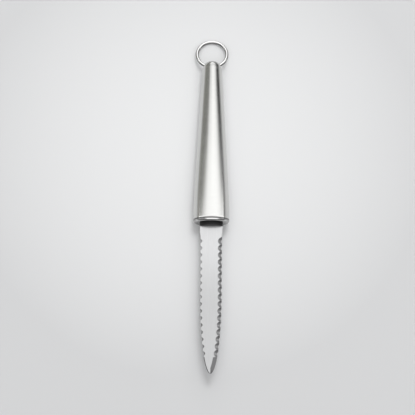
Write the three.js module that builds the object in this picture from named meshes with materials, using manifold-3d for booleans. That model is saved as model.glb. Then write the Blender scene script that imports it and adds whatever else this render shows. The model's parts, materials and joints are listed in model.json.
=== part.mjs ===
// A grapefruit knife: a narrow blade with two scalloped edges, cemented into a hollow tapered
// steel handle, oval at its mouth, that ends in a round dome with a hanging ring. Millimetres,
// +Z up. The knife lies on a table as it is put down, on the handle's lower side, with the blade
// along -Y and the ring along +Y. The origin is at the bottom centre of its bounding box.
import * as THREE from 'three';
import { mergeVertices } from 'three/addons/utils/BufferGeometryUtils.js';
import Module from 'manifold-3d';

const wasm = await Module();
wasm.setup();

// Places along the knife are measured from the plug's face, where the blade comes out:
// positive towards the ring, negative towards the blade's tip.

// Fits and facets
const FIT = 0.3; // gap between pieces that seat in or on one another
const ROUND_SIDES = 40; // flat sides of every turned piece, one of them straight down
const WIRE_SIDES = 10;
const BORE_SIDES = 24;

// Handle
const HANDLE_LENGTH = 107.2; // plug's face to the top of the dome
const HANDLE_FRONT_RADIUS = 11.17; // half of its width at the mouth, where its section is oval
const HANDLE_FRONT_RISE = 9; // half of its height there
const HANDLE_REAR_RADIUS = 6.26; // where the dome starts and the section is round
const TAPER_EASE = 24; // stretch behind the mouth in which the width's taper dies out
const EASE_STEPS = 8;
const SHELL_WALL = 1.0;
const DOME_LENGTH = 6;
const DOME_STEPS = 7;
const SPIGOT_LENGTH = 6; // of the rear cap, inside the shell

// Collar in the handle's mouth
const COLLAR_LENGTH = 1.7;
const COLLAR_ROUND = 1.5; // radius of its front edge
const COLLAR_BAND = 0.3; // least straight band behind the rounded edge
const COLLAR_ROUND_STEPS = 5;
const SKIRT_LENGTH = 4; // of the collar, inside the shell
const SKIRT_WALL = 1.2;

// Plug
const PLUG_STEP = 1.14; // how far its body stands out behind the collar's lip
const PLUG_SIDE_WALL = 2.4; // beside the tang's slot, at the face
const PLUG_PROUD = 1.9; // how far its face stands out of the collar
const PLUG_CHAMFER = 0.25;
const PLUG_BODY_LENGTH = 8; // behind the collar's lip

// Blade and tang
const BLADE_LENGTH = 92.6; // plug's face to the tip
const BLADE_THICKNESS = 1.2;
const BLADE_WIDTH = 13.4; // across the teeth
const ROOT_WIDTH = 14.2;
const ROOT_LENGTH = 3.4; // full-width stretch next to the plug
const NECK_LENGTH = 4.2; // stretch in which the root narrows to the blade
const TIP_CURVE_LENGTH = 48; // stretch in which the outline curves in to the tip
const TIP_STEPS = 14;
const TIP_BLUNT = 0.06; // flat left at the very tip
const EDGE_BREAK = 0.2; // chamfer on the plain edges
const EDGE_LAND = 0.1; // thickness left at a ground edge
const TANG_LENGTH = 30;
const CEMENT_COVER = 3; // resin behind the tang's end

// Scallops, ground into the right edge from above and the left edge from below
const TOOTH_LEAD = 1.1; // plain edge between the neck and the first scallop
const TIP_PLAIN_LENGTH = 9.5; // least plain bevel between the last scallop and the tip
const SCALLOP_PITCH = 4.36;
const SCALLOP_FACET = 2.5; // width of the ground facet on the blade's flat, at its middle
const SCALLOP_BITE = 0.6; // how far the middle of a scallop reaches inside the teeth
const WHEEL_RADIUS = 2.9; // of the grinding wheel's edge
const SCALLOP_STEPS = 8;
const TIP_FACET = 2.5; // width of that plain bevel

// Hanging ring
const RING_RADIUS = 9.4; // to the middle of the wire
const WIRE_RADIUS = 1.08;
const RING_STEPS = 44;
const RING_PLAY = 0.45; // gap round the wire where it comes nearest to the bore
const BORE_DEPTH = 2.75; // the bore's axis below the top of the dome

// Places that follow from the sizes
const collarBack = PLUG_PROUD + COLLAR_LENGTH;
const shellFront = collarBack + FIT;
const domeStart = HANDLE_LENGTH - DOME_LENGTH;
const shellBack = domeStart - FIT;
const easeEnd = shellFront + TAPER_EASE;
const plugBack = collarBack + FIT + PLUG_BODY_LENGTH;
const taper = (HANDLE_FRONT_RADIUS - HANDLE_REAR_RADIUS) / (domeStart - easeEnd + TAPER_EASE / 2);
const riseTaper = (HANDLE_FRONT_RISE - HANDLE_REAR_RADIUS) / (domeStart - shellFront);

// The ring's bore. The wire curves inside it, half of the curve on each side of the bore's axis.
const boreAxis = HANDLE_LENGTH - BORE_DEPTH;
const boreReach = domeRadius(boreAxis);
const wireCurve = RING_RADIUS - Math.sqrt(RING_RADIUS ** 2 - boreReach ** 2);
const ringSetBack = wireCurve / 2;
const boreRadius = ringSetBack + WIRE_RADIUS + RING_PLAY;

const steel = (color, roughness) => new THREE.MeshStandardMaterial({ color, roughness, metalness: 1 });
const satinSteel = steel(0xb9b9b6, 0.38);
const polishedSteel = steel(0xd2d2d2, 0.12);
const bladeSteel = steel(0xc9cacb, 0.25);
const blackPlastic = new THREE.MeshStandardMaterial({ color: 0x1b1b1c, roughness: 0.5, metalness: 0 });
const resin = new THREE.MeshStandardMaterial({ color: 0xc8b98f, roughness: 0.6, metalness: 0 });

// Half of the handle's width
function shellRadius(along) {
  if (along >= easeEnd) return HANDLE_REAR_RADIUS + taper * (domeStart - along);
  const behindMouth = Math.max(0, along - shellFront);
  return HANDLE_FRONT_RADIUS - (taper * behindMouth ** 2) / (2 * TAPER_EASE);
}

// Half of the handle's height, which falls in a straight line so that the handle lies flat
function shellRise(along) {
  return HANDLE_FRONT_RISE - riseTaper * Math.max(0, along - shellFront);
}

// How much the oval takes off the height above and below the axis
function flattening(along) {
  return along < domeStart ? shellRadius(along) - shellRise(along) : 0;
}

function domeRadius(along) {
  const intoDome = (along - domeStart) / DOME_LENGTH;
  return HANDLE_REAR_RADIUS * Math.sqrt(Math.max(0, 1 - intoDome ** 2));
}

const shellInnerRadius = (along) => shellRadius(along) - SHELL_WALL;

// A turned piece from [half-width, place] pairs, flattened to the handle's oval, with one flat
// side straight down
function turned(profile) {
  const points = profile.map(([radius, along]) => new THREE.Vector2(radius, along));
  const geometry = new THREE.LatheGeometry(points, ROUND_SIDES, Math.PI / ROUND_SIDES);
  const { position } = geometry.attributes;
  for (let i = 0; i < position.count; i += 1) {
    const radius = Math.hypot(position.getX(i), position.getZ(i));
    const share = radius > 0 ? 1 - flattening(position.getY(i)) / radius : 1;
    position.setZ(i, position.getZ(i) * share);
  }
  return geometry;
}

function steps(count, first = 0) {
  return Array.from({ length: count + 1 - first }, (_, i) => (i + first) / count);
}

function solid(geometry) {
  const bare = geometry.clone();
  bare.deleteAttribute('normal');
  bare.deleteAttribute('uv');
  const merged = mergeVertices(bare, 1e-4);
  const mesh = new wasm.Mesh({
    numProp: 3,
    vertProperties: Float32Array.from(merged.attributes.position.array),
    triVerts: Uint32Array.from(merged.index.array),
  });
  return new wasm.Manifold(mesh);
}

function cut(geometry, cutter) {
  const { vertProperties, triVerts } = solid(geometry).subtract(solid(cutter)).getMesh();
  const result = new THREE.BufferGeometry();
  result.setAttribute('position', new THREE.BufferAttribute(vertProperties, 3));
  result.setIndex(new THREE.BufferAttribute(triVerts, 1));
  return result;
}

function piece(name, geometry, material) {
  const mesh = new THREE.Mesh(geometry, material);
  mesh.name = name;
  return mesh;
}

function handleShell() {
  const places = steps(EASE_STEPS).map((t) => shellFront + t * TAPER_EASE);
  places.push(shellBack);
  const outside = places.map((along) => [shellRadius(along), along]);
  const inside = places.map((along) => [shellInnerRadius(along), along]).reverse();
  return turned([...outside, ...inside, outside[0]]);
}

function rearCap() {
  const spigotRadius = shellInnerRadius(shellBack) - FIT;
  const spigotFront = shellBack - SPIGOT_LENGTH;
  const dome = steps(DOME_STEPS).map((t) => {
    const along = domeStart + DOME_LENGTH * Math.sin((t * Math.PI) / 2);
    return [t < 1 ? domeRadius(along) : 0, along];
  });
  const cap = turned([[0, spigotFront], [spigotRadius, spigotFront], [spigotRadius, domeStart], ...dome]);
  const boreLength = 4 * HANDLE_REAR_RADIUS;
  const bore = new THREE.CylinderGeometry(boreRadius, boreRadius, boreLength, BORE_SIDES);
  bore.rotateZ(Math.PI / 2).translate(0, boreAxis, 0);
  return cut(cap, bore);
}

// The mouth, from the shell inwards: the collar's skirt, the plug's body, its nose and the tang
const skirtBack = collarBack + SKIRT_LENGTH;
const skirtRadius = shellInnerRadius(skirtBack) - FIT;
const skirtInside = skirtRadius - SKIRT_WALL;
const plugBodyRadius = skirtInside - FIT;
const plugRadius = plugBodyRadius - PLUG_STEP;
const lipRadius = plugRadius + FIT;
const tangWidth = 2 * (plugRadius - PLUG_SIDE_WALL - FIT);

function frontCollar() {
  const edgeRadius = Math.min(COLLAR_ROUND, COLLAR_LENGTH - COLLAR_BAND);
  const roundEdge = steps(COLLAR_ROUND_STEPS).map((t) => {
    const angle = (t * Math.PI) / 2;
    const along = PLUG_PROUD + edgeRadius * (1 - Math.cos(angle));
    return [HANDLE_FRONT_RADIUS - edgeRadius * (1 - Math.sin(angle)), along];
  });
  return turned([
    [lipRadius, PLUG_PROUD],
    ...roundEdge,
    [HANDLE_FRONT_RADIUS, collarBack],
    [skirtRadius, collarBack],
    [skirtRadius, skirtBack],
    [skirtInside, skirtBack],
    [skirtInside, collarBack],
    [lipRadius, collarBack],
    [lipRadius, PLUG_PROUD],
  ]);
}

// The slot that the tang lies in, from one place to another
function tangSlot(from, to) {
  const slot = new THREE.BoxGeometry(tangWidth + 2 * FIT, to - from, BLADE_THICKNESS + 2 * FIT);
  return slot.translate(0, (from + to) / 2, 0);
}

function tangPlug() {
  const bodyFront = collarBack + FIT;
  const plug = turned([
    [0, 0],
    [plugRadius - PLUG_CHAMFER, 0],
    [plugRadius, PLUG_CHAMFER],
    [plugRadius, bodyFront],
    [plugBodyRadius, bodyFront],
    [plugBodyRadius, plugBack],
    [0, plugBack],
  ]);
  return cut(plug, tangSlot(-FIT, plugBack + FIT));
}

function tangCement() {
  const front = plugBack + FIT;
  const back = TANG_LENGTH + CEMENT_COVER;
  const resinRadius = (along) => shellInnerRadius(along) - FIT;
  const plain = turned([[0, front], [resinRadius(front), front], [resinRadius(back), back], [0, back]]);
  return cut(plain, tangSlot(front - FIT, TANG_LENGTH + FIT));
}

// The blade is lofted through sections square to its length. Each has the ground facet on its
// upper right edge, and the same facet turned half round on its lower left edge.
const half = BLADE_THICKNESS / 2;
const neckEnd = ROOT_LENGTH + NECK_LENGTH;
const serrationStart = neckEnd + TOOTH_LEAD;
const scallopCount = Math.floor((BLADE_LENGTH - TIP_PLAIN_LENGTH - serrationStart) / SCALLOP_PITCH);
const serrationEnd = serrationStart + scallopCount * SCALLOP_PITCH;
const grindSlope = BLADE_THICKNESS / (SCALLOP_FACET - SCALLOP_BITE);
const grindSine = Math.sin(Math.atan(grindSlope));

function bladeHalfWidth(fromPlug) {
  const toTip = BLADE_LENGTH - fromPlug;
  if (toTip >= TIP_CURVE_LENGTH) return BLADE_WIDTH / 2;
  const reach = 1 - toTip / TIP_CURVE_LENGTH;
  return (BLADE_WIDTH / 2) * Math.sqrt(1 - reach ** 2);
}

// Facet left by the grinding wheel at a distance from the middle of a scallop
function scallopFacet(fromMiddle) {
  const rise = WHEEL_RADIUS - Math.sqrt(Math.max(0, WHEEL_RADIUS ** 2 - fromMiddle ** 2));
  return Math.max(EDGE_BREAK, SCALLOP_FACET - rise / grindSine);
}

function section(along, halfWidth, facet, edge, edgeTop) {
  const inner = halfWidth - facet;
  const right = [[edge, -half], [edge, edgeTop], [inner, half]];
  const left = right.map(([x, z]) => [-x, -z]);
  return [...right, ...left].map(([x, z]) => new THREE.Vector3(x, along, z));
}

function plainSection(along, width) {
  return section(along, width / 2, EDGE_BREAK, width / 2, half - EDGE_BREAK);
}

function groundSection(fromPlug, facet) {
  const halfWidth = bladeHalfWidth(fromPlug);
  const bite = Math.max(0, facet - BLADE_THICKNESS / grindSlope);
  const edgeTop = Math.max(EDGE_LAND - half, half - facet * grindSlope);
  return section(-fromPlug, halfWidth, facet, halfWidth - bite, edgeTop);
}

function tipSection(fromPlug) {
  const halfWidth = bladeHalfWidth(fromPlug);
  return section(-fromPlug, halfWidth, Math.min(TIP_FACET, halfWidth), halfWidth, EDGE_LAND - half);
}

function bladeSections() {
  const sections = [
    plainSection(TANG_LENGTH, tangWidth),
    plainSection(-FIT, tangWidth),
    plainSection(-FIT, ROOT_WIDTH),
    plainSection(-ROOT_LENGTH, ROOT_WIDTH),
    plainSection(-neckEnd, BLADE_WIDTH),
  ];
  for (let i = 0; i < scallopCount; i += 1) {
    for (const t of steps(SCALLOP_STEPS, i ? 1 : 0)) {
      const fromPlug = serrationStart + (i + t) * SCALLOP_PITCH;
      sections.push(groundSection(fromPlug, scallopFacet((t - 0.5) * SCALLOP_PITCH)));
    }
  }
  const bevelEnd = BLADE_LENGTH - TIP_BLUNT;
  for (const t of steps(TIP_STEPS, 1)) {
    const closing = 1 - (1 - t) ** 2;
    sections.push(tipSection(serrationEnd + closing * (bevelEnd - serrationEnd)));
  }
  return sections;
}

function blade() {
  const sections = bladeSections();
  const sides = sections[0].length;
  const indices = [];
  for (let i = 0; i + 1 < sections.length; i += 1) {
    for (let j = 0; j < sides; j += 1) {
      const here = i * sides + j;
      const beside = i * sides + ((j + 1) % sides);
      indices.push(here, beside, beside + sides, here, beside + sides, here + sides);
    }
  }
  const last = (sections.length - 1) * sides;
  for (let j = 1; j + 1 < sides; j += 1) {
    indices.push(0, j + 1, j);
    indices.push(last, last + j, last + j + 1);
  }
  const geometry = new THREE.BufferGeometry().setFromPoints(sections.flat());
  geometry.setIndex(indices);
  return geometry;
}

// How the knife lies: the handle's lowest flat side is on the table, so the blade points up a little
const flatShare = Math.cos(Math.PI / ROUND_SIDES);
const tilt = Math.atan(riseTaper * flatShare);
const axisHeight = flatShare * (HANDLE_REAR_RADIUS + riseTaper * domeStart) * Math.cos(tilt);
const boreHeight = axisHeight - boreAxis * Math.sin(tilt);
const ringReach = 2 * RING_RADIUS - ringSetBack;
const ringDroop = Math.asin((boreHeight - WIRE_RADIUS) / ringReach);

// The ring swings about the bore's axis and has dropped until its far side meets the table
function hangingRing() {
  const geometry = new THREE.TorusGeometry(RING_RADIUS, WIRE_RADIUS, WIRE_SIDES, RING_STEPS);
  const ring = piece('hanging_ring', geometry, polishedSteel);
  ring.position.y = RING_RADIUS - ringSetBack;
  const swing = new THREE.Group();
  swing.name = 'ring_swing';
  swing.position.y = boreAxis;
  swing.rotation.x = tilt - ringDroop;
  swing.add(ring);
  return swing;
}

const handle = new THREE.Group();
handle.add(piece('handle_shell', handleShell(), satinSteel));
handle.add(piece('rear_cap', rearCap(), satinSteel));
handle.add(piece('front_collar', frontCollar(), polishedSteel));
handle.add(piece('tang_plug', tangPlug(), blackPlastic));
handle.add(piece('tang_cement', tangCement(), resin));
handle.add(piece('blade', blade(), bladeSteel));
handle.add(hangingRing());
handle.rotation.x = -tilt;

const knife = new THREE.Group();
knife.add(handle);
const bounds = new THREE.Box3().setFromObject(knife, true);
const middle = bounds.getCenter(new THREE.Vector3());
handle.position.set(-middle.x, -middle.y, -bounds.min.z);

export default knife;
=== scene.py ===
"""Looks of a grapefruit knife: fine steel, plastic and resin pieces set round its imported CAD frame.

Everything is in metres in the frame's own axes: +Z up, the blade towards -Y and the hanging ring
towards +Y. Places along the knife are measured from the plug's face, where the blade comes out:
positive towards the ring, negative towards the blade's tip.
"""

import json
import math

import bmesh
import bpy
from bpy.props import FloatProperty, FloatVectorProperty, IntProperty, PointerProperty
from mathutils import Matrix, Vector


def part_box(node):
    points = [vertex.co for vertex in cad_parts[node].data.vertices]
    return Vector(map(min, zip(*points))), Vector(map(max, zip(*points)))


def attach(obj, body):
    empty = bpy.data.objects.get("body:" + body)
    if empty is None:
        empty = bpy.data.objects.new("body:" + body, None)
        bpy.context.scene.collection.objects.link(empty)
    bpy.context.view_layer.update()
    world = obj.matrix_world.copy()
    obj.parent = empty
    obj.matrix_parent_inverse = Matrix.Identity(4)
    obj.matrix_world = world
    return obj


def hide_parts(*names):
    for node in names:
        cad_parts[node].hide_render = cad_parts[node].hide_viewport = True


bl_info = {
    "name": "Grapefruit knife",
    "version": (1, 0, 0),
    "blender": (4, 5, 0),
    "location": "3D View > Sidebar > Knife",
    "description": "Builds a grapefruit knife with scalloped edges round its CAD frame",
    "category": "Add Mesh",
}

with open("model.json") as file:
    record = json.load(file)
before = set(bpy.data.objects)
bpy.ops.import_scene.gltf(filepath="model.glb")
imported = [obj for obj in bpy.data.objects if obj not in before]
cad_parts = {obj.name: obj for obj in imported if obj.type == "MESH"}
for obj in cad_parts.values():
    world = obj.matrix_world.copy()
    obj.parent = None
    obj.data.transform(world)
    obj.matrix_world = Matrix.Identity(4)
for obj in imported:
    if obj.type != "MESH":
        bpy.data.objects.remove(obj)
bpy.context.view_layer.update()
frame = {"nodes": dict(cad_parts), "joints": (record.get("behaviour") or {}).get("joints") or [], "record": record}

# How the knife lies: the bore of the ring is a point of its axis, and its flat gives the tilt
BORE_PLACE = Vector(frame["joints"][0]["pos_m"])
FLAT_NORMAL = Vector(frame["record"]["mounts"][0]["axis"])
TILT = math.atan2(FLAT_NORMAL.y, FLAT_NORMAL.z)

MOUTH_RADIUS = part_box("front_collar")[1].x
BORE_ALONG = 0.10445
SENSOR_WIDTH = 36

# Points nearer than this are one point, and edges sharper than these angles show as edges
SEAM = 1e-7
SHARP_ANGLE = math.radians(28)
BLADE_SHARP_ANGLE = math.radians(9)


def length(name, default, description):
    """A size in metres that a user may change."""
    return FloatProperty(
        name=name, description=description, default=default, min=0, precision=5, unit="LENGTH"
    )


def colour(name, default, description):
    """A colour that a user may change."""
    return FloatVectorProperty(
        name=name, description=description, default=default, size=3, min=0, max=1, subtype="COLOR"
    )


def angle(name, degrees, description):
    """An angle that a user may change."""
    return FloatProperty(
        name=name, description=description, default=math.radians(degrees), unit="ROTATION"
    )


def spot(name, default, description):
    """A point that a user may change."""
    return FloatVectorProperty(
        name=name, description=description, default=default, size=3, precision=5, unit="LENGTH"
    )


def amount(name, default, description):
    """A plain number that a user may change."""
    return FloatProperty(name=name, description=description, default=default, min=0)


class HandleSizes(bpy.types.PropertyGroup):
    """Sizes of the hollow oval handle, its domed cap, its collar and its plug."""

    mouth_radius: length("Mouth radius", MOUTH_RADIUS, "Half of the width at the front")
    mouth_rise: length("Mouth rise", 0.00896, "Half of the height at the front")
    rear_radius: length("Rear radius", 0.00623, "Outside radius where the round dome starts")
    front: length("Shell front", 0.0039, "Plug's face to the shell's front rim")
    dome_start: length("Dome start", 0.1012, "Plug's face to where the dome starts")
    dome_length: length("Dome length", 0.006, "Length of the dome")
    dome_power: amount("Dome power", 5.0, "Bluntness of the dome above and below, 2 is round")
    ease: length("Taper ease", 0.024, "Stretch behind the mouth in which the taper dies out")
    wall: length("Wall", 0.001, "Thickness of the shell")
    joint_gap: length("Joint gap", 0.0003, "Gap between fixed pieces")
    rim_round: length("Rim round", 0.00012, "Radius of the edges on both sides of the groove")
    spigot_length: length("Spigot", 0.0063, "Length of the cap's spigot inside the shell")
    bore_place: length("Bore place", BORE_ALONG, "Plug's face to the axis of the ring's bore")
    bore_radius: length("Bore radius", 0.00233, "Radius of the ring's bore")
    collar_front: length("Collar front", 0.0019, "Plug's face to the collar's front")
    collar_back: length("Collar back", 0.0036, "Plug's face to the back of the collar's band")
    collar_round: length("Collar round", 0.0015, "Radius of the collar's front edge")
    skirt_back: length("Skirt back", 0.0076, "Plug's face to the end of the collar's skirt")
    skirt_radius: length("Skirt radius", 0.00982, "Outside radius of the collar's skirt")
    skirt_inside: length("Skirt inside", 0.00863, "Inside radius of the collar's skirt")
    plug_radius: length("Plug radius", 0.00722, "Radius of the plug's nose")
    plug_body: length("Plug body", 0.00833, "Radius of the plug's body, behind the collar")
    plug_back: length("Plug back", 0.0119, "Plug's face to the back of its body")
    plug_round: length("Plug round", 0.00028, "Radius of the edge round the plug's face")
    sides: IntProperty(name="Sides", description="Facets round a turned piece", default=160)


class BladeSizes(bpy.types.PropertyGroup):
    """Sizes of the blade, its tang and its ground edges."""

    reach: length("Length", 0.09253, "Plug's face to the tip")
    thickness: length("Thickness", 0.0012, "Thickness of the strip")
    width: length("Width", 0.0134, "Width across the teeth")
    root_width: length("Root width", 0.0142, "Width next to the plug")
    root_length: length("Root length", 0.0034, "Full-width stretch next to the plug")
    neck_length: length("Neck length", 0.0036, "Stretch in which the root narrows")
    tip_curve: length("Tip curve", 0.048, "Stretch in which the outline curves in to the tip")
    tip_bevel: length("Tip bevel", 0.0025, "Width of the plain bevel at the tip")
    tip_break: length("Tip break", 0.00042, "Chamfer on the other face of the tip's edge")
    edge_break: length("Edge break", 0.0002, "Chamfer on the plain edges")
    edge_land: length("Edge land", 0.0001, "Thickness left at a ground edge")
    bevel_step: length("Bevel step", 0.0004, "Stretch in which the tip's bevel starts")
    tip_stub: length("Tip stub", 0.00001, "What is left off the very end of the tip")
    tang_width: length("Tang width", 0.009, "Width of the tang")
    tang_length: length("Tang length", 0.03, "Plug's face to the end of the tang")
    scallop_first: length("First scallop", 0.0074, "Plug's face to the start of the first scallop")
    scallop_pitch: length("Scallop pitch", 0.00441, "Distance between scallops")
    scallop_facet: length("Scallop facet", 0.0025, "Widest part of a scallop on the flat")
    wheel_radius: length("Wheel radius", 0.00375, "Radius of the wheel that ground the scallops")
    burr_facet: length("Burr facet", 0.0013, "Width of the light cut on the other face")
    burr_radius: length("Burr wheel", 0.0045, "Radius of the wheel that made the light cut")
    burr_angle: angle("Burr angle", 10, "Slope of the light cut")
    grind_angle: angle("Grind angle", 28.5, "Slope of the ground facets")
    scallops: IntProperty(name="Scallops", description="Scallops in each edge", default=17)


class RingSizes(bpy.types.PropertyGroup):
    """Sizes of the hanging ring."""

    radius: length("Ring radius", 0.0094, "Radius to the middle of the wire")
    wire_radius: length("Wire radius", 0.00103, "Radius of the wire")
    set_back: length("Set back", 0.000805, "The wire's middle in front of the bore's axis")
    slide: length("Slide", 0.0002, "How far the loose ring has slid to the left in its bore")
    far_height: length("Far height", 0.00108, "Height of the wire's middle at the ring's far end")
    steps: IntProperty(name="Steps", description="Facets round the ring", default=160)
    sides: IntProperty(name="Sides", description="Facets round the wire", default=36)


class Finishes(bpy.types.PropertyGroup):
    """Colours of the surfaces."""

    satin: colour("Satin steel", (0.625, 0.625, 0.613), "Handle")
    flat: colour("Blade steel", (0.7, 0.704, 0.71), "Flats of the blade")
    ground: colour("Ground steel", (0.46, 0.46, 0.465), "Scallops and bevels")
    burr: colour("Burr steel", (0.36, 0.36, 0.365), "Light cuts on the other face")
    polished: colour("Polished steel", (0.97, 0.97, 0.965), "Collar")
    wire: colour("Ring steel", (0.95, 0.95, 0.945), "Hanging ring")
    plastic: colour("Black plastic", (0.007, 0.007, 0.0075), "Plug")
    resin: colour("Resin", (0.62, 0.53, 0.36), "Cement round the tang")


class StageSettings(bpy.types.PropertyGroup):
    """Camera, floor and light."""

    look: spot("Look point", (-0.0024, -0.0012, 0), "Point at the middle of the picture")
    distance: length("Distance", 1.25, "Camera to the look point")
    elevation: angle("Elevation", 77.6, "Height of the camera above the horizon")
    roll: angle("Roll", 0.39, "Turn of the camera about its own axis")
    lens: amount("Lens", 172.9, "Focal length in millimetres on a 36 mm sensor")
    # The two floor colours paint a pool of light round the handle.
    floor: colour("Floor", (0.832, 0.837, 0.843), "Pale floor under the handle")
    floor_far: colour("Floor far off", (0.675, 0.679, 0.687), "Pale floor away from the handle")
    floor_middle: spot("Floor middle", (-0.01, 0.035, 0), "Palest point of the floor")
    floor_fade: length("Floor fade", 0.145, "Stretch in which the floor gets darker")
    floor_reach: length("Floor reach", 5.0, "Half of the floor's width")
    key_power: amount("Key lamp", 4.8, "Power of the soft lamp above")
    key_size: length("Key lamp size", 0.5, "Width of the soft lamp")
    key_place: spot("Key lamp place", (0.15, 0.55, 1.2), "Middle of the soft lamp")
    room_light: amount("Room light", 0.8, "Strength of the light from the room")


KNIFE_PLACE = Matrix.Translation(BORE_PLACE) @ Matrix.Rotation(-TILT, 4, "X")
KNIFE_PLACE = KNIFE_PLACE @ Matrix.Translation((0, -BORE_ALONG, 0))


# Nodes


class Wire:
    """A node's socket on which Python's operators add Math nodes."""

    def __init__(self, tree, socket=None):
        self.tree = tree
        self.socket = socket

    def node(self, kind, sockets=None, output=0, **settings):
        """Adds any node: its settings first, then the values or links of its sockets."""
        made = self.tree.nodes.new(kind)
        for name, value in settings.items():
            setattr(made, name, value)
        for key, value in (sockets or {}).items():
            if isinstance(value, Wire):
                self.tree.links.new(value.socket, made.inputs[key])
            else:
                made.inputs[key].default_value = value
        return Wire(self.tree, made.outputs[output] if len(made.outputs) else None)

    def part(self, name):
        """Another output of the same node."""
        return Wire(self.tree, self.socket.node.outputs[name])

    def math(self, operation, *operands):
        """Adds a Math node."""
        return self.node("ShaderNodeMath", dict(enumerate(operands)), operation=operation)

    def __add__(self, other):
        return self.math("ADD", self, other)

    def __radd__(self, other):
        return self.math("ADD", other, self)

    def __sub__(self, other):
        return self.math("SUBTRACT", self, other)

    def __rsub__(self, other):
        return self.math("SUBTRACT", other, self)

    def __mul__(self, other):
        return self.math("MULTIPLY", self, other)

    def __rmul__(self, other):
        return self.math("MULTIPLY", other, self)

    def __truediv__(self, other):
        return self.math("DIVIDE", self, other)


def rgba(tint, share=1):
    """A colour for a socket, made darker or lighter by a share."""
    return (*(min(1, share * part) for part in tint), 1)


def grey(wire, level):
    """A grey with a level that varies."""
    return wire.node("ShaderNodeCombineColor", {"Red": level, "Green": level, "Blue": level})


def smooth_step(wire, value, none, full):
    """0 up to none, 1 from full on and a smooth ramp between them, which may run either way."""
    return wire.node(
        "ShaderNodeMapRange",
        {"Value": value, "From Min": none, "From Max": full},
        interpolation_type="SMOOTHSTEP",
    )


def mix_colour(wire, factor, first, second):
    """The first colour where the factor is 0, the second where it is 1."""
    sockets = {"Factor": factor, 6: first, 7: second}
    return wire.node("ShaderNodeMix", sockets, output=2, data_type="RGBA")


def noise(wire, place, stretch, detail=2.0):
    """Noise at a place in metres that is multiplied by stretch along each axis."""
    stretched = wire.node("ShaderNodeVectorMath", {0: place, 1: stretch}, operation="MULTIPLY")
    return wire.node("ShaderNodeTexNoise", {"Vector": stretched, "Scale": 1, "Detail": detail})


def bump(wire, height, depth, strength=1.0):
    """Normals of a surface that is raised by up to depth metres where height is 1."""
    return wire.node("ShaderNodeBump", {"Strength": strength, "Distance": depth, "Height": height})


# Materials


def start_material(name):
    """An empty material and a Wire to build it with."""
    material = bpy.data.materials.new(name)
    material.use_nodes = True
    material.node_tree.nodes.clear()
    return material, Wire(material.node_tree)


def knife_coordinates(wire):
    """Where a point of the surface is in the knife's own axes: across, along and up."""
    place = wire.node("ShaderNodeTexCoord", output="Object")
    sockets = {
        "Vector": place,
        "Location": KNIFE_PLACE.translation,
        "Rotation": (-TILT, 0, 0),
    }
    return wire.node("ShaderNodeMapping", sockets, vector_type="TEXTURE")


def surface(wire, sockets):
    """Ends a material in a Principled shader."""
    shader = wire.node("ShaderNodeBsdfPrincipled", sockets)
    wire.node("ShaderNodeOutputMaterial", {"Surface": shader})


# Stretches of the noise, across, along and up, roughness and depth of three kinds of brushing
BELT_LINES = {
    "fine": (260, 9500, 260), "coarse": (160, 2600, 160), "roughness": 0.13, "depth": 2.5e-6
}
LONG_LINES = {
    "fine": (9000, 170, 9000), "coarse": (2400, 70, 2400), "roughness": 0.36, "depth": 3e-6
}
GRINDING_LINES = {
    "fine": (300, 11000, 300), "coarse": (160, 5200, 160), "roughness": 0.42, "depth": 5e-6
}


def brushed_steel(name, tint, shading, fine, coarse, roughness, depth):
    """Steel with two layers of lines and soft clouds.

    Where shading, a function of the place along the knife, comes to 1, the steel is half as bright.
    """
    material, wire = start_material(name)
    place = knife_coordinates(wire)
    fine_lines = noise(wire, place, fine)
    coarse_lines = noise(wire, place, coarse)
    clouds = noise(wire, place, (90, 45, 90), 3.0)
    lines = fine_lines * 0.65 + coarse_lines * 0.35
    shade = smooth_step(wire, lines * 0.7 + clouds * 0.3, 0.3, 0.7)
    colours = mix_colour(wire, shade, rgba(tint, 0.93), rgba(tint, 1.05))
    along = wire.node("ShaderNodeSeparateXYZ", {0: place}, output="Y")
    surface(wire, {
        "Base Color": mix_colour(wire, shading(wire, along), colours, rgba(tint, 0.5)),
        "Metallic": 1.0,
        "Roughness": roughness + (lines - 0.5) * 0.14 + (clouds - 0.5) * 0.08,
        "Normal": bump(wire, lines, depth),
    })
    return material


def satin_steel(tint, sizes):
    """Handle: satin steel with fine lines round it, from the polishing belt, and painted shade on its front rim,
    by the groove.
    """
    # Painted shade: the shell's front rim by the groove is half as bright.
    def rim(wire, along):
        return smooth_step(wire, along, sizes.front + 5 * sizes.rim_round, sizes.front + sizes.rim_round)

    return brushed_steel("handle_satin", tint, rim, **BELT_LINES)


def blade_steel(tint):
    """Flats of the blade: satin steel with fine lines along it, and painted shade that darkens it towards the tip.
    """
    darken_start, darken_full, tip_shade_share = -0.01, -0.05, 0.34

    # Painted shade: the flats get darker towards the tip, in place of a reflection that fades there.
    def wear_and_shade(wire, along):
        return tip_shade_share * smooth_step(wire, along, darken_start, darken_full)

    return brushed_steel("blade_satin", tint, wear_and_shade, **LONG_LINES)


def ground_steel(tint, sizes):
    """Scallops and bevels: steel with grinding lines, and painted shade where the wheel first bit each scallop and
    over the tip's bevel.
    """
    shade_end, shade_start, shade_share = 0.75, 0.1, 0.5
    tip_fade = 0.1

    # Painted shade: each scallop is darker at its end nearest the handle, where the wheel first bit, and the tip's
    # bevel is darker all over, in place of the dark reflections there.
    def painted_scallop_shade(wire, along):
        scallop = (0 - sizes.scallop_first - along) / sizes.scallop_pitch
        bite = smooth_step(wire, wire.math("FRACT", scallop), shade_end, shade_start)
        tip = smooth_step(wire, scallop, sizes.scallops - tip_fade, sizes.scallops + tip_fade)
        return wire.math("MAXIMUM", bite * shade_share, tip)

    return brushed_steel("blade_ground", tint, painted_scallop_shade, **GRINDING_LINES)


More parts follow.
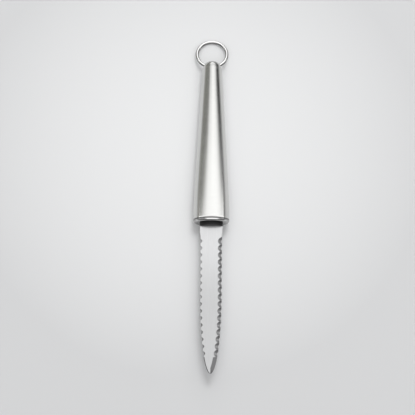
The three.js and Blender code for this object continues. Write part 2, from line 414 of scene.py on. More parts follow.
def burr_steel(tint):
    """Light cuts on the other face: ground steel, darker towards the tip."""
    darken_start, darken_full = -0.015, -0.06

    # The light cuts get darker towards the tip.
    def wear_and_shade(wire, along):
        return smooth_step(wire, along, darken_start, darken_full)

    return brushed_steel("blade_burr", tint, wear_and_shade, **GRINDING_LINES)


def mirror_steel(name, tint, dulling_and_painted_shade, shaded_share):
    """Mirror-bright steel with faint wipe marks; where it is dull it is rougher and painted shade makes it only a
    share as bright.
    """
    material, wire = start_material(name)
    place = knife_coordinates(wire)
    wipes = noise(wire, place, (700, 350, 700), 4.0)
    hairlines = noise(wire, place, (5200, 420, 5200))
    marks = smooth_step(wire, hairlines, 0.62, 0.72)
    shade = smooth_step(wire, wipes, 0.3, 0.7)
    dull_and_shaded = dulling_and_painted_shade(wire)
    clean = mix_colour(wire, shade, rgba(tint, 0.95), rgba(tint))
    surface(wire, {
        # Where the dull mask comes to 1: painted shade, only a share as bright, and a rougher surface.
        "Base Color": mix_colour(wire, dull_and_shaded, clean, rgba(tint, shaded_share)),
        "Metallic": 1.0,
        "Roughness": 0.05 + marks * 0.04 + wipes * 0.04 + dull_and_shaded * 0.12,
        "Normal": bump(wire, hairlines, 8e-7),
    })
    return material


def polished_steel(tint):
    """Collar: mirror-bright steel on its bead, rougher and with painted shade in its groove, on its front and at
    its sides.
    """
    groove_start, groove_full = 0.0029, 0.0033
    front_start, front_full = 0.0025, 0.0022
    side_start, side_full = 0.0078, 0.0102

    # Painted shade, with more roughness: in the groove, where shade falls, and on the front and sides, which
    # mirror the shadowed floor.
    def dulling_and_painted_shade(wire):
        axes = wire.node("ShaderNodeSeparateXYZ", {0: knife_coordinates(wire)})
        along = axes.part("Y")
        across = wire.math("ABSOLUTE", axes.part("X"))
        groove = smooth_step(wire, along, groove_start, groove_full)
        front = smooth_step(wire, along, front_start, front_full)
        return groove + front + smooth_step(wire, across, side_start, side_full)

    return mirror_steel("collar_polish", tint, dulling_and_painted_shade, shaded_share=0.42)


def ring_steel(tint, sizes):
    """Ring: wire that is bright on top and below, and rougher with painted shade on its inner and outer sides."""
    side_start, side_full = 0.94, 0.6

    # Painted shade, with more roughness, on the wire's inner and outer sides, in place of the dark reflections and
    # shadow there.
    def dulling_and_painted_shade(wire):
        place = wire.node("ShaderNodeTexCoord", output="Object")
        sockets = {"Vector": place, "Location": BORE_PLACE, "Rotation": (-ring_droop(sizes), 0, 0)}
        flat = wire.node("ShaderNodeMapping", sockets, vector_type="TEXTURE")
        rise = wire.math("ABSOLUTE", wire.node("ShaderNodeSeparateXYZ", {0: flat}, output="Z"))
        return smooth_step(wire, rise / sizes.wire_radius, side_start, side_full)

    return mirror_steel("ring_polish", tint, dulling_and_painted_shade, shaded_share=0.22)


def black_plastic(tint):
    """Plug: matt black plastic with a fine moulded grain."""
    material, wire = start_material("plug_plastic")
    place = knife_coordinates(wire)
    grain = noise(wire, place, (5200, 5200, 5200), 3.0)
    wear = noise(wire, place, (480, 480, 480), 3.0)
    # Lighter patches of wear, spread at random.
    wear_and_shade = smooth_step(wire, wear, 0.45, 0.75)
    surface(wire, {
        "Base Color": mix_colour(wire, wear_and_shade, rgba(tint), rgba(tint, 1.9)),
        "Roughness": 0.42 + grain * 0.12 + wear_and_shade * 0.06,
        "Specular IOR Level": 0.35,
        "Normal": bump(wire, grain, 3e-5, 0.6),
    })
    return material


def cast_resin(tint):
    """Cement: cast resin with clouds and small bubbles."""
    material, wire = start_material("tang_resin")
    place = knife_coordinates(wire)
    clouds = noise(wire, place, (260, 260, 260), 4.0)
    stretched = wire.node(
        "ShaderNodeVectorMath", {0: place, 1: (1500, 1500, 1500)}, operation="MULTIPLY"
    )
    cells = wire.node("ShaderNodeTexVoronoi", {"Vector": stretched, "Scale": 1})
    bubbles = smooth_step(wire, cells, 0.32, 0.18)
    shade = smooth_step(wire, clouds, 0.3, 0.7)
    surface(wire, {
        "Base Color": mix_colour(wire, shade, rgba(tint, 0.72), rgba(tint)),
        "Roughness": 0.5 + clouds * 0.2,
        "Normal": bump(wire, 1 - bubbles, 8e-5, 0.5),
    })
    return material


# Geometry Nodes


def start_tree(name, inputs):
    """A Geometry Nodes tree with named inputs, and a Wire for each of them."""
    tree = bpy.data.node_groups.new(name, "GeometryNodeTree")
    for label, kind in inputs:
        tree.interface.new_socket(label, in_out="INPUT", socket_type=kind)
    tree.interface.new_socket("Geometry", in_out="OUTPUT", socket_type="NodeSocketGeometry")
    wire = Wire(tree)
    given = wire.node("NodeGroupInput")
    return tree, wire, {label: given.part(label) for label, _ in inputs}


def end_tree(wire, geometry, material, selection=True):
    """Ends a tree in real faces that have their material."""
    real = wire.node("GeometryNodeRealizeInstances", {"Geometry": geometry})
    sockets = {"Geometry": real, "Selection": selection, "Material": material}
    painted = wire.node("GeometryNodeSetMaterial", sockets)
    wire.node("NodeGroupOutput", {0: painted})


def turned_tree():
    """Turns a profile, drawn as half-width, place along and half-height, about the knife's axis."""
    tree, wire, given = start_tree("Turned piece", [
        ("Profile", "NodeSocketGeometry"),
        ("Sides", "NodeSocketInt"),
        ("Material", "NodeSocketMaterial"),
    ])
    rows = wire.node(
        "GeometryNodeAttributeDomainSize", {"Geometry": given["Profile"]}, output="Point Count"
    )
    sheet = wire.node("GeometryNodeMeshGrid", {"Vertices X": given["Sides"] + 1, "Vertices Y": rows})
    index = wire.node("GeometryNodeInputIndex")
    row = wire.math("MODULO", index, rows)
    column = wire.math("FLOOR", index / rows)
    sampled = wire.node(
        "GeometryNodeSampleIndex",
        {"Geometry": given["Profile"], "Value": wire.node("GeometryNodeInputPosition"), "Index": row},
        data_type="FLOAT_VECTOR",
    )
    drawn = wire.node("ShaderNodeSeparateXYZ", {0: sampled})
    turn = column * math.tau / given["Sides"]
    place = wire.node("ShaderNodeCombineXYZ", {
        "X": drawn.part("X") * wire.math("SINE", turn),
        "Y": drawn.part("Y"),
        "Z": drawn.part("Z") * wire.math("COSINE", turn),
    })
    bent = wire.node("GeometryNodeSetPosition", {"Geometry": sheet, "Position": place})
    closed = wire.node("GeometryNodeMergeByDistance", {"Geometry": bent, "Distance": SEAM})
    end_tree(wire, closed, given["Material"])
    return tree


def scallop_tree():
    """Grinds a row of scallops into both edges of a blade, with a light cut on the other face."""
    lengths = ("First", "Pitch", "Facet", "Wheel radius", "Burr facet", "Burr radius")
    lengths += ("Thickness", "Width", "Reach", "Tip curve")
    angles = ("Grind angle", "Burr angle")
    tree, wire, given = start_tree("Scalloped edges", [
        ("Blade", "NodeSocketGeometry"),
        ("Scallops", "NodeSocketInt"),
        *((label, "NodeSocketFloat") for label in lengths + angles),
        *((label, "NodeSocketMaterial") for label in ("Flat", "Ground", "Burr")),
    ])
    half_width = given["Width"] / 2
    index = wire.node("GeometryNodeInputIndex")
    along = given["First"] + (index + 0.5) * given["Pitch"]
    curved = 1 - (given["Reach"] - along) / given["Tip curve"]
    curved = wire.math("MAXIMUM", curved, 0)
    rest = wire.math("SQRT", 1 - curved * curved)
    edge = half_width * rest
    slope = half_width * curved / (rest * given["Tip curve"])
    turn = wire.math("ARCTANGENT", slope)
    row = wire.node("GeometryNodeMeshLine", {"Count": given["Scallops"]})

    def wheels(facet, radius, grind, material):
        """A wheel for each scallop of the right edge, set to cut a facet of this width."""
        sockets = {"Vertices": 72, "Radius": radius, "Depth": given["Width"]}
        wheel = wire.node("GeometryNodeMeshCylinder", sockets)
        sockets = {"Geometry": wheel, "Material": material}
        wheel = wire.node("GeometryNodeSetMaterial", sockets)
        shift = radius * wire.math("SINE", grind) - facet
        place = wire.node("ShaderNodeCombineXYZ", {
            "X": edge + shift * wire.math("COSINE", turn),
            "Y": 0 - along - shift * wire.math("SINE", turn),
            "Z": given["Thickness"] / 2 + radius * wire.math("COSINE", grind),
        })
        lean = wire.node("ShaderNodeCombineXYZ", {"Y": grind + math.pi / 2, "Z": 0 - turn})
        points = wire.node("GeometryNodeSetPosition", {"Geometry": row, "Position": place})
        sockets = {"Points": points, "Instance": wheel, "Rotation": lean}
        return wire.node("GeometryNodeInstanceOnPoints", sockets)

    light_pass = wheels(
        given["Burr facet"], given["Burr radius"], given["Burr angle"], given["Burr"]
    )
    light_pass = wire.node(
        "GeometryNodeTransform",
        {"Geometry": light_pass, "Rotation": (0, math.pi, 0), "Scale": (1, 1, -1)},
    )
    light_pass = wire.node("GeometryNodeRealizeInstances", {"Geometry": light_pass})
    light_pass = wire.node("GeometryNodeFlipFaces", {"Mesh": light_pass})
    main_pass = wheels(
        given["Facet"], given["Wheel radius"], given["Grind angle"], given["Ground"]
    )
    right = wire.node("GeometryNodeJoinGeometry", {0: main_pass})
    wire.tree.links.new(light_pass.socket, right.socket.node.inputs[0])
    left = wire.node(
        "GeometryNodeTransform", {"Geometry": right, "Rotation": (0, math.pi, 0)}
    )
    both = wire.node("GeometryNodeJoinGeometry", {0: right})
    wire.tree.links.new(left.socket, both.socket.node.inputs[0])
    cutters = wire.node("GeometryNodeRealizeInstances", {"Geometry": both})
    ground = wire.node(
        "GeometryNodeMeshBoolean",
        {"Mesh 1": given["Blade"], "Mesh 2": cutters, "Self Intersection": True},
        operation="DIFFERENCE",
        solver="EXACT",
    )
    facets = wire.node("GeometryNodeMaterialSelection", {"Material": given["Ground"]})
    facets = facets + wire.node("GeometryNodeMaterialSelection", {"Material": given["Burr"]})
    end_tree(wire, ground, given["Flat"], 1 - facets)
    return tree


def ring_tree():
    """A closed ring of round wire."""
    tree, wire, given = start_tree("Wire ring", [
        ("Ring radius", "NodeSocketFloat"),
        ("Wire radius", "NodeSocketFloat"),
        ("Steps", "NodeSocketInt"),
        ("Sides", "NodeSocketInt"),
        ("Material", "NodeSocketMaterial"),
    ])
    path = wire.node(
        "GeometryNodeCurvePrimitiveCircle",
        {"Resolution": given["Steps"], "Radius": given["Ring radius"]},
    )
    section = wire.node(
        "GeometryNodeCurvePrimitiveCircle",
        {"Resolution": given["Sides"], "Radius": given["Wire radius"]},
    )
    swept = wire.node("GeometryNodeCurveToMesh", {"Curve": path, "Profile Curve": section})
    end_tree(wire, swept, given["Material"])
    return tree


# Making pieces


def new_object(name, data):
    """An object in the scene, at the origin."""
    made = bpy.data.objects.new(name, data)
    bpy.context.scene.collection.objects.link(made)
    return made


def plain_mesh(made):
    """Turns what an object's modifiers make into its own mesh, and removes them."""
    graph = bpy.context.evaluated_depsgraph_get()
    result = bpy.data.meshes.new_from_object(made.evaluated_get(graph))
    empty = [i for i, material in enumerate(result.materials) if material is None]
    for i in reversed(empty):
        result.materials.pop(index=i)
    made.modifiers.clear()
    old = made.data
    made.data = result
    bpy.data.meshes.remove(old)


def grow(made, tree, values):
    """Runs a Geometry Nodes tree on an object with values for its named inputs."""
    modifier = made.modifiers.new(tree.name, "NODES")
    modifier.node_group = tree
    sockets = {
        item.name: item.identifier
        for item in tree.interface.items_tree
        if item.item_type == "SOCKET" and item.in_out == "INPUT"
    }
    for label, value in values.items():
        modifier[sockets[label]] = value
    plain_mesh(made)


def cut(made, cutter_mesh):
    """Takes a closed mesh out of a piece."""
    cutter = new_object("cutter", cutter_mesh)
    modifier = made.modifiers.new("Cut", "BOOLEAN")
    modifier.operation = "DIFFERENCE"
    modifier.solver = "EXACT"
    modifier.object = cutter
    plain_mesh(made)
    bpy.data.objects.remove(cutter)
    bpy.data.meshes.remove(cutter_mesh)


def settle(made, place, sharp=SHARP_ANGLE):
    """Puts a piece where it belongs, with closed seams, outward faces and smooth shading."""
    mesh = made.data
    mesh.transform(place)
    shape = bmesh.new()
    shape.from_mesh(mesh)
    bmesh.ops.remove_doubles(shape, verts=shape.verts, dist=SEAM)
    bmesh.ops.recalc_face_normals(shape, faces=shape.faces)
    shape.to_mesh(mesh)
    shape.free()
    mesh.shade_smooth()
    mesh.set_sharp_from_angle(angle=sharp)


def hand_over(made, body, node):
    """Lets a piece ride on its body and stand for its CAD node."""
    if not made.data.polygons:
        raise RuntimeError(f"{made.name} came out empty")
    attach(made, body)
    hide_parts(node)


def turned_piece(name, profile, sizes, material):
    """A piece turned from pairs of half-width and place along, flattened to the handle's oval."""
    drawn = bpy.data.meshes.new(name)
    points = [
        (radius, along, max(0, radius - flattening(sizes, along))) for radius, along in profile
    ]
    drawn.from_pydata(points, [(i, i + 1) for i in range(len(points) - 1)], [])
    made = new_object(name, drawn)
    grow(made, turned_tree(), {"Sides": sizes.sides, "Material": material})
    return made


def arc(centre, radius, start, end, steps=8):
    """Points of an arc in a profile, as pairs of radius and place; angles are from the axis."""
    turns = [math.radians(start + (end - start) * i / steps) for i in range(steps + 1)]
    return [
        (centre[0] + radius * math.sin(turn), centre[1] + radius * math.cos(turn)) for turn in turns
    ]


def shell_radius(sizes, along):
    """Half of the handle's width: a straight taper that dies out behind the mouth."""
    ease_end = sizes.front + sizes.ease
    straight = sizes.dome_start - ease_end
    taper = (sizes.mouth_radius - sizes.rear_radius) / (straight + sizes.ease / 2)
    if along >= ease_end:
        return sizes.rear_radius + taper * (sizes.dome_start - along)
    return sizes.mouth_radius - taper * max(0, along - sizes.front) ** 2 / (2 * sizes.ease)


def flattening(sizes, along):
    """What the oval takes off the height above and below the axis, none at the round dome."""
    if along >= sizes.dome_start:
        return 0
    share = max(0, along - sizes.front) / (sizes.dome_start - sizes.front)
    rise = sizes.mouth_rise + (sizes.rear_radius - sizes.mouth_rise) * share
    return shell_radius(sizes, along) - rise


def blunt_dome(mesh, sizes):
    """Raises the dome above and below to a blunter end, with the same outline seen from above."""
    for vertex in mesh.vertices:
        share = (vertex.co.y - sizes.dome_start) / sizes.dome_length
        inside = 1 - (vertex.co.x / sizes.rear_radius) ** 2
        if share > 0 and inside > 0:
            left = max(0, 1 - (share**2 / inside) ** (sizes.dome_power / 2))
            drop = share * sizes.dome_length * math.tan(TILT)
            rise = sizes.rear_radius * math.sqrt(inside * left) - drop
            vertex.co.z = math.copysign(max(0, rise), vertex.co.z)


def ring_droop(sizes):
    """How far the ring hangs down from straight out, with its far end on the table."""
    return math.asin((BORE_PLACE.z - sizes.far_height) / (2 * sizes.radius - sizes.set_back))


def spread(first, last, count):
    """Evenly spaced places from first to last."""
    return [first + (last - first) * i / count for i in range(count + 1)]


def blade_half_width(sizes, from_plug):
    """Half of the blade's width at a distance from the plug's face."""
    to_tip = sizes.reach - from_plug
    if to_tip >= sizes.tip_curve:
        return sizes.width / 2
    curved = 1 - to_tip / sizes.tip_curve
    return sizes.width / 2 * math.sqrt(1 - curved**2)


def scallops_end(sizes):
    """Plug's face to the end of the last scallop, where the tip's bevel starts."""
    return sizes.scallop_first + sizes.scallops * sizes.scallop_pitch


def blade_section(sizes, along, half_width, bevel, land, under):
    """Eight corners of a section: on the right a chamfer, a land and the bevel above them."""
    half = sizes.thickness / 2
    edge = half_width, under - half
    right = [(half_width - under, -half), edge, (half_width, edge[1] + land), (half_width - bevel, half)]
    left = [(-x, -z) for x, z in right]
    return [(x, along, z) for x, z in right + left]


def blade_sections(sizes):
    """Sections of the blade before its scallops, from the tang's end to the tip."""
    chamfer = sizes.edge_break

    def plain(along, half_width):
        land = sizes.thickness - 2 * chamfer
        return blade_section(sizes, along, half_width, chamfer, land, chamfer)

    neck_end = sizes.root_length + sizes.neck_length
    bevel_start = scallops_end(sizes)
    sections = [plain(sizes.tang_length, sizes.tang_width / 2), plain(0, sizes.tang_width / 2)]
    sections += [plain(0, sizes.root_width / 2), plain(-sizes.root_length, sizes.root_width / 2)]
    for share in spread(0, 1, 8)[1:]:
        eased = share * share * (3 - 2 * share)
        width = sizes.root_width + (sizes.width - sizes.root_width) * eased
        sections.append(plain(-sizes.root_length - share * sizes.neck_length, width / 2))
    for from_plug in spread(neck_end, bevel_start - sizes.bevel_step, 60)[1:]:
        sections.append(plain(-from_plug, blade_half_width(sizes, from_plug)))
    for share in spread(0, 1, 48):
        closing = 1 - (1 - share) ** 2
        from_plug = bevel_start + closing * (sizes.reach - sizes.tip_stub - bevel_start)
        half_width = blade_half_width(sizes, from_plug)
        bevel = min(sizes.tip_bevel, half_width)
        under = min(sizes.tip_break, half_width)
        sections.append(
            blade_section(sizes, -from_plug, half_width, bevel, sizes.edge_land, under)
        )
    return sections


def blade_blank(sizes, materials):
    """The blade's strip with its tang and plain tip bevel, before the scallops are ground.

    The materials are for its flats, for its ground faces and for the light cuts on the other face.
    """
    sections = blade_sections(sizes)
    corners = len(sections[0])
    shape = bmesh.new()
    loops = [[shape.verts.new(point) for point in section] for section in sections]
    flat, ground, burr = range(3)
    for near, far in zip(loops, loops[1:]):
        for i in range(corners):
            j = (i + 1) % corners
            face = shape.faces.new((near[i], near[j], far[j], far[i]))
            at_tip = near[i].co.y <= 10 * SEAM - scallops_end(sizes)
            finishes = (burr, flat, ground, flat) if at_tip else [flat] * 4
            face.material_index = finishes[i % 4]
    shape.faces.new(loops[0])
    shape.faces.new(loops[-1])
    bmesh.ops.remove_doubles(shape, verts=shape.verts, dist=SEAM)
    bmesh.ops.recalc_face_normals(shape, faces=shape.faces)
    mesh = bpy.data.meshes.new("blade_strip")
    shape.to_mesh(mesh)
    shape.free()
    for material in materials:
        mesh.materials.append(material)
    return mesh


def box_mesh(size):
    """A box round the plug's face."""
    shape = bmesh.new()
    bmesh.ops.create_cube(shape, size=1)
    bmesh.ops.scale(shape, vec=size, verts=shape.verts)
    mesh = bpy.data.meshes.new("slot")
    shape.to_mesh(mesh)
    shape.free()
    return mesh


def rod_mesh(radius, reach, middle):
    """A rod across the knife."""
    shape = bmesh.new()
    bmesh.ops.create_cone(
        shape, cap_ends=True, segments=96, radius1=radius, radius2=radius, depth=reach
    )
    bmesh.ops.rotate(shape, matrix=Matrix.Rotation(math.pi / 2, 3, "Y"), verts=shape.verts)
    bmesh.ops.translate(shape, vec=middle, verts=shape.verts)
    mesh = bpy.data.meshes.new("bore")
    shape.to_mesh(mesh)
    shape.free()
    return mesh


# Operators


class KNIFE_OT_handle(bpy.types.Operator):
    """Makes the hollow tapered handle"""

    bl_idname = "grapefruit_knife.handle"
    bl_label = "Handle"

    def execute(self, context):
        sizes = context.scene.knife_handle
        rim = sizes.rim_round
        mouth = shell_radius(sizes, sizes.front)
        places = spread(sizes.front + rim, sizes.front + sizes.ease, 24)
        places += spread(sizes.front + sizes.ease, sizes.dome_start, 24)[1:]
        outside = [(shell_radius(sizes, along), along) for along in places]
        inside = [(radius - sizes.wall, along) for radius, along in reversed(outside)]
        lip = arc((mouth - rim, sizes.front + rim), rim, 180, 90)[:-1]
        start = (mouth - sizes.wall, sizes.front)
        profile = [start, *lip, *outside, *inside, start]
        material = satin_steel(context.scene.knife_finishes.satin, sizes)
        made = turned_piece("handle_tube", profile, sizes, material)
        settle(made, KNIFE_PLACE)
        hand_over(made, "handle", "handle_shell")
        return {"FINISHED"}


class KNIFE_OT_rear_cap(bpy.types.Operator):
    """Makes the domed rear cap with the ring's bore"""

    bl_idname = "grapefruit_knife.rear_cap"
    bl_label = "Rear cap"

    def execute(self, context):
        sizes = context.scene.knife_handle
        spigot = sizes.rear_radius - sizes.wall - sizes.joint_gap
        spigot_end = sizes.dome_start - sizes.spigot_length
        profile = [(0, spigot_end), (spigot, spigot_end), (spigot, sizes.dome_start)]
        for turn in spread(0, math.pi / 2, 28):
            radius = max(0, sizes.rear_radius * math.cos(turn))
            profile.append((radius, sizes.dome_start + sizes.dome_length * math.sin(turn)))
        material = bpy.data.materials["handle_satin"]
        made = turned_piece("rear_dome", profile, sizes, material)
        blunt_dome(made.data, sizes)
        settle(made, Matrix.Identity(4))
        cut(made, rod_mesh(sizes.bore_radius, 4 * sizes.rear_radius, (0, sizes.bore_place, 0)))
        settle(made, KNIFE_PLACE)
        hand_over(made, "handle", "rear_cap")
        return {"FINISHED"}


class KNIFE_OT_collar(bpy.types.Operator):
    """Makes the polished collar in the handle's mouth"""

    bl_idname = "grapefruit_knife.collar"
    bl_label = "Collar"

    def execute(self, context):
        sizes = context.scene.knife_handle
        edge = sizes.collar_round
        lip = sizes.plug_radius
        back = sizes.collar_back
        small = sizes.rim_round
        profile = [(lip, sizes.collar_front)]
        profile += arc((sizes.mouth_radius - edge, sizes.collar_front + edge), edge, 180, 90, 20)
        profile += arc((sizes.mouth_radius - small, back - small), small, 90, 0)
        profile += [(sizes.skirt_radius, back), (sizes.skirt_radius, sizes.skirt_back)]
        profile += [(sizes.skirt_inside, sizes.skirt_back), (sizes.skirt_inside, back)]
        profile += [(lip, back), (lip, sizes.collar_front)]
        material = polished_steel(context.scene.knife_finishes.polished)
        made = turned_piece("mouth_collar", profile, sizes, material)
        settle(made, KNIFE_PLACE)
        hand_over(made, "handle", "front_collar")
        return {"FINISHED"}


class KNIFE_OT_plug(bpy.types.Operator):
    """Makes the black plug that holds the tang"""

    bl_idname = "grapefruit_knife.plug"
    bl_label = "Plug"

    def execute(self, context):
        sizes = context.scene.knife_handle
        blade = context.scene.knife_blade
        edge = sizes.plug_round
        shoulder = sizes.collar_back + sizes.joint_gap
        profile = [(0, 0)]
        profile += arc((sizes.plug_radius - edge, edge), edge, 180, 90)
        profile += [(sizes.plug_radius, shoulder), (sizes.plug_body, shoulder)]
        profile += [(sizes.plug_body, sizes.plug_back), (0, sizes.plug_back)]
        material = black_plastic(context.scene.knife_finishes.plastic)
        made = turned_piece("tang_insert", profile, sizes, material)
        settle(made, Matrix.Identity(4))
        slot = (blade.tang_width, 3 * sizes.plug_back, blade.thickness)
        cut(made, box_mesh(slot))
        settle(made, KNIFE_PLACE)
        hand_over(made, "handle", "tang_plug")
        return {"FINISHED"}


class KNIFE_OT_blade(bpy.types.Operator):
    """Makes the blade with its scalloped edges"""

    bl_idname = "grapefruit_knife.blade"
    bl_label = "Blade"

    def execute(self, context):
        sizes = context.scene.knife_blade
        finishes = context.scene.knife_finishes
        flat = blade_steel(finishes.flat)
        ground = ground_steel(finishes.ground, sizes)
        burr = burr_steel(finishes.burr)
        made = new_object("scalloped_blade", blade_blank(sizes, (flat, ground, burr)))
        grow(made, scallop_tree(), {
            "Scallops": sizes.scallops,
            "First": sizes.scallop_first,
            "Pitch": sizes.scallop_pitch,
            "Facet": sizes.scallop_facet,
            "Wheel radius": sizes.wheel_radius,
            "Burr facet": sizes.burr_facet,
            "Burr radius": sizes.burr_radius,
            "Grind angle": sizes.grind_angle,
            "Burr angle": sizes.burr_angle,
            "Thickness": sizes.thickness,
            "Width": sizes.width,
            "Reach": sizes.reach,
            "Tip curve": sizes.tip_curve,
            "Flat": flat,
            "Ground": ground,
            "Burr": burr,
        })
        settle(made, KNIFE_PLACE, BLADE_SHARP_ANGLE)
        hand_over(made, "handle", "blade")
        return {"FINISHED"}


class KNIFE_OT_ring(bpy.types.Operator):
    """Makes the hanging ring"""

    bl_idname = "grapefruit_knife.ring"
    bl_label = "Hanging ring"

    def execute(self, context):
        sizes = context.scene.knife_ring
        made = new_object("hanging_wire", bpy.data.meshes.new("hanging_wire"))
        grow(made, ring_tree(), {
            "Ring radius": sizes.radius,
            "Wire radius": sizes.wire_radius,
            "Steps": sizes.steps,
            "Sides": sizes.sides,
            "Material": ring_steel(context.scene.knife_finishes.wire, sizes),
        })
        place = Matrix.Translation(BORE_PLACE) @ Matrix.Rotation(-ring_droop(sizes), 4, "X")
        settle(made, place @ Matrix.Translation((-sizes.slide, sizes.radius - sizes.set_back, 0)))
        hand_over(made, "ring", "hanging_ring")
        return {"FINISHED"}


class KNIFE_OT_cement(bpy.types.Operator):
    """Gives the cement round the tang its finish"""

    bl_idname = "grapefruit_knife.cement"
    bl_label = "Cement"

    def execute(self, context):
        cement = frame["nodes"]["tang_cement"].data
        cement.materials.clear()
        cement.materials.append(cast_resin(context.scene.knife_finishes.resin))
        return {"FINISHED"}


class KNIFE_OT_stage(bpy.types.Operator):
    """Sets the floor, the light and the camera"""

    bl_idname = "grapefruit_knife.stage"
    bl_label = "Stage"

    def execute(self, context):
        settings = context.scene.knife_stage
        lay_floor(settings)
        hang_lamp(settings)
        paint_studio(context.scene, settings)
        place_camera(context.scene, settings)
        context.scene.view_settings.view_transform = "Standard"
        return {"FINISHED"}


def lay_floor(settings):
    """A wide pale floor with a painted pool of light: it gets a little darker away from the handle."""
    mesh = bpy.data.meshes.new("floor")
    reach = settings.floor_reach
    corners = [(-reach, -reach, 0), (reach, -reach, 0), (reach, reach, 0), (-reach, reach, 0)]
    mesh.from_pydata(corners, [], [(0, 1, 2, 3)])
    material, wire = start_material("pale_floor")
    # Painted light falloff: the floor gets darker with distance from its palest point.
    sockets = {0: wire.node("ShaderNodeTexCoord", output="Object"), 1: settings.floor_middle}
    away = wire.node("ShaderNodeVectorMath", sockets, output=1, operation="DISTANCE")
    far = wire.math("MINIMUM", away / settings.floor_fade, 1.05)
    surface(wire, {
        "Base Color": mix_colour(wire, far * far, rgba(settings.floor), rgba(settings.floor_far)),
        "Roughness": 0.8,
        "Specular IOR Level": 0.1,
    })
    mesh.materials.append(material)
    new_object("floor", mesh)


def hang_lamp(settings):
    """A soft lamp above, to the right and behind, that lights the floor and casts the shadows."""
    lamp = bpy.data.lights.new("key_lamp", "AREA")
    lamp.shape = "DISK"
    lamp.size = settings.key_size
    lamp.energy = settings.key_power
    made = new_object("key_lamp", lamp)
    place = Vector(settings.key_place)
    made.matrix_world = Matrix.Translation(place) @ place.to_track_quat("Z", "Y").to_matrix().to_4x4()
    made.visible_glossy = False
    made.visible_camera = False


class Room:
    """Ways to say where a point of the room is, seen from the knife."""

    def __init__(self, wire):
        horizon, far_side = 0.03, 3
        direction = wire.node("ShaderNodeTexCoord", output="Generated")
        axes = wire.node("ShaderNodeSeparateXYZ", {0: direction})
        self.sideways = axes.part("X")
        self.rearward = axes.part("Y")
        self.up = axes.part("Z")
        height = wire.math("MAXIMUM", self.up, horizon)
        across = wire.math("MAXIMUM", self.sideways / height, -far_side)
        self.across = wire.math("MINIMUM", across, far_side)
        self.back = self.rearward / height
        self.lateral = wire.math("ARCTAN2", self.sideways, self.up)


def room_walls(wire, room):
    """Walls: nearly black at the right, grey at the left, paler near the floor, dim in front."""
    left_side = smooth_step(wire, room.sideways, 0.1, -0.3)
    rear = smooth_step(wire, room.rearward, -0.1, 0.2)
    low = smooth_step(wire, room.up, 0.3, 0.14) * smooth_step(wire, room.rearward, 0.75, 0.5)
    right_dark, right_low, front_dim = (rgba([level] * 3) for level in (0.005, 0.5, 0.12))
    right_wall = mix_colour(wire, low, right_dark, right_low)
    left_wall = mix_colour(wire, low, rgba((0.36, 0.36, 0.335)), rgba((0.55, 0.55, 0.52)))
    wall = mix_colour(wire, left_side, right_wall, left_wall)
    return mix_colour(wire, rear, front_dim, wall)


def add_sweep(wire, room, walls):
    """The walls with a bright sweep of paper behind the knife."""
    left_edge, left_full = math.radians(-36), math.radians(-12)
    right_edge, right_full = math.radians(55), math.radians(15)
    behind = smooth_step(wire, room.back, 0.7, 0.95)
    swung = room.lateral / (1 + 0.3 * behind)
    sweep = smooth_step(wire, swung, left_edge, left_full)
    sweep = sweep * smooth_step(wire, swung, right_edge, right_full)
    sweep = sweep * smooth_step(wire, room.back, 0.22, 0.34) * smooth_step(wire, room.up, 0.06, 0.14)
    return mix_colour(wire, sweep, walls, grey(wire, 1.3 + 0.4 * behind))


def add_panel(wire, room, walls):
    """The walls with a wide white panel overhead, which curves back at its sides."""
    right_side = smooth_step(wire, room.sideways, -0.1, 0.1)
    edge = 0.395 + 0.01 * room.across + 0.06 * room.across * room.across
    fade = 0.065 + 0.145 * right_side
    skyline = room.up + 0.55 * wire.math("MINIMUM", room.rearward, 0)
    panel = smooth_step(wire, room.back - edge, fade, -0.066) * smooth_step(wire, skyline, 0.03, 0.21)
    left_front = smooth_step(wire, room.across, -0.3, -0.85)
    right_front = smooth_step(wire, room.across, 0.5, 1.2)
    front = smooth_step(wire, room.back, 0.16, 0)
    panel = panel * (1 - 0.9 * (left_front + right_front) * front)
    rear_shine = smooth_step(wire, room.back, 0.16, 0.36)
    front_shine = 0.25 * smooth_step(wire, room.back, 0.1, -0.1)
    return mix_colour(wire, panel, walls, grey(wire, 1.1 + rear_shine + front_shine))


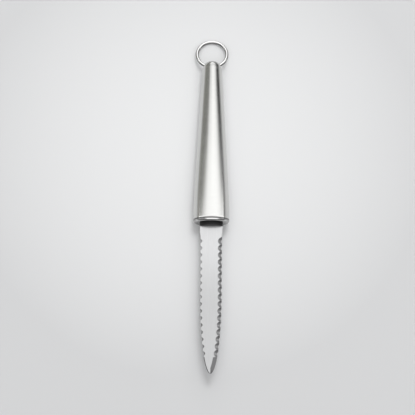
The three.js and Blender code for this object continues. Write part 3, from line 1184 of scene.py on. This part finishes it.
def paint_studio(scene, settings):
    """The room that the steel mirrors."""
    world = bpy.data.worlds.new("studio")
    scene.world = world
    world.use_nodes = True
    world.node_tree.nodes.clear()
    wire = Wire(world.node_tree)
    room = Room(wire)
    walls = add_sweep(wire, room, room_walls(wire, room))
    glow = add_panel(wire, room, walls)
    light = wire.node("ShaderNodeBackground", {"Color": glow, "Strength": settings.room_light})
    wire.node("ShaderNodeOutputWorld", {"Surface": light})


def place_camera(scene, settings):
    """A long lens high above the knife, turned a little as in the picture."""
    camera = bpy.data.cameras.new("camera")
    camera.lens = settings.lens
    camera.sensor_width = SENSOR_WIDTH
    made = new_object("camera", camera)
    up = math.sin(settings.elevation)
    back = Vector((0, -math.cos(settings.elevation), up))
    turn = back.to_track_quat("Z", "Y").to_matrix().to_4x4() @ Matrix.Rotation(settings.roll, 4, "Z")
    made.matrix_world = Matrix.Translation(Vector(settings.look) + back * settings.distance) @ turn
    scene.camera = made


PIECES = ("handle", "rear_cap", "collar", "plug", "blade", "ring", "cement", "stage")


class KNIFE_PT_sidebar(bpy.types.Panel):
    """Lists the pieces of the knife"""

    bl_idname = "KNIFE_PT_sidebar"
    bl_label = "Grapefruit knife"
    bl_space_type = "VIEW_3D"
    bl_region_type = "UI"
    bl_category = "Knife"

    def draw(self, context):
        for name in PIECES:
            self.layout.operator(f"grapefruit_knife.{name}")


CLASSES = (
    HandleSizes, BladeSizes, RingSizes, Finishes, StageSettings,
    KNIFE_OT_handle, KNIFE_OT_rear_cap, KNIFE_OT_collar, KNIFE_OT_plug, KNIFE_OT_blade,
    KNIFE_OT_ring, KNIFE_OT_cement, KNIFE_OT_stage, KNIFE_PT_sidebar,
)

SETTINGS = {
    "knife_handle": HandleSizes,
    "knife_blade": BladeSizes,
    "knife_ring": RingSizes,
    "knife_finishes": Finishes,
    "knife_stage": StageSettings,
}


def register():
    for made in CLASSES:
        bpy.utils.register_class(made)
    for name, group in SETTINGS.items():
        setattr(bpy.types.Scene, name, PointerProperty(type=group))


def unregister():
    for name in SETTINGS:
        delattr(bpy.types.Scene, name)
    for made in reversed(CLASSES):
        bpy.utils.unregister_class(made)


def main():
    register()
    for name in PIECES:
        getattr(bpy.ops.grapefruit_knife, name)()


if __name__ == "__main__":
    main()
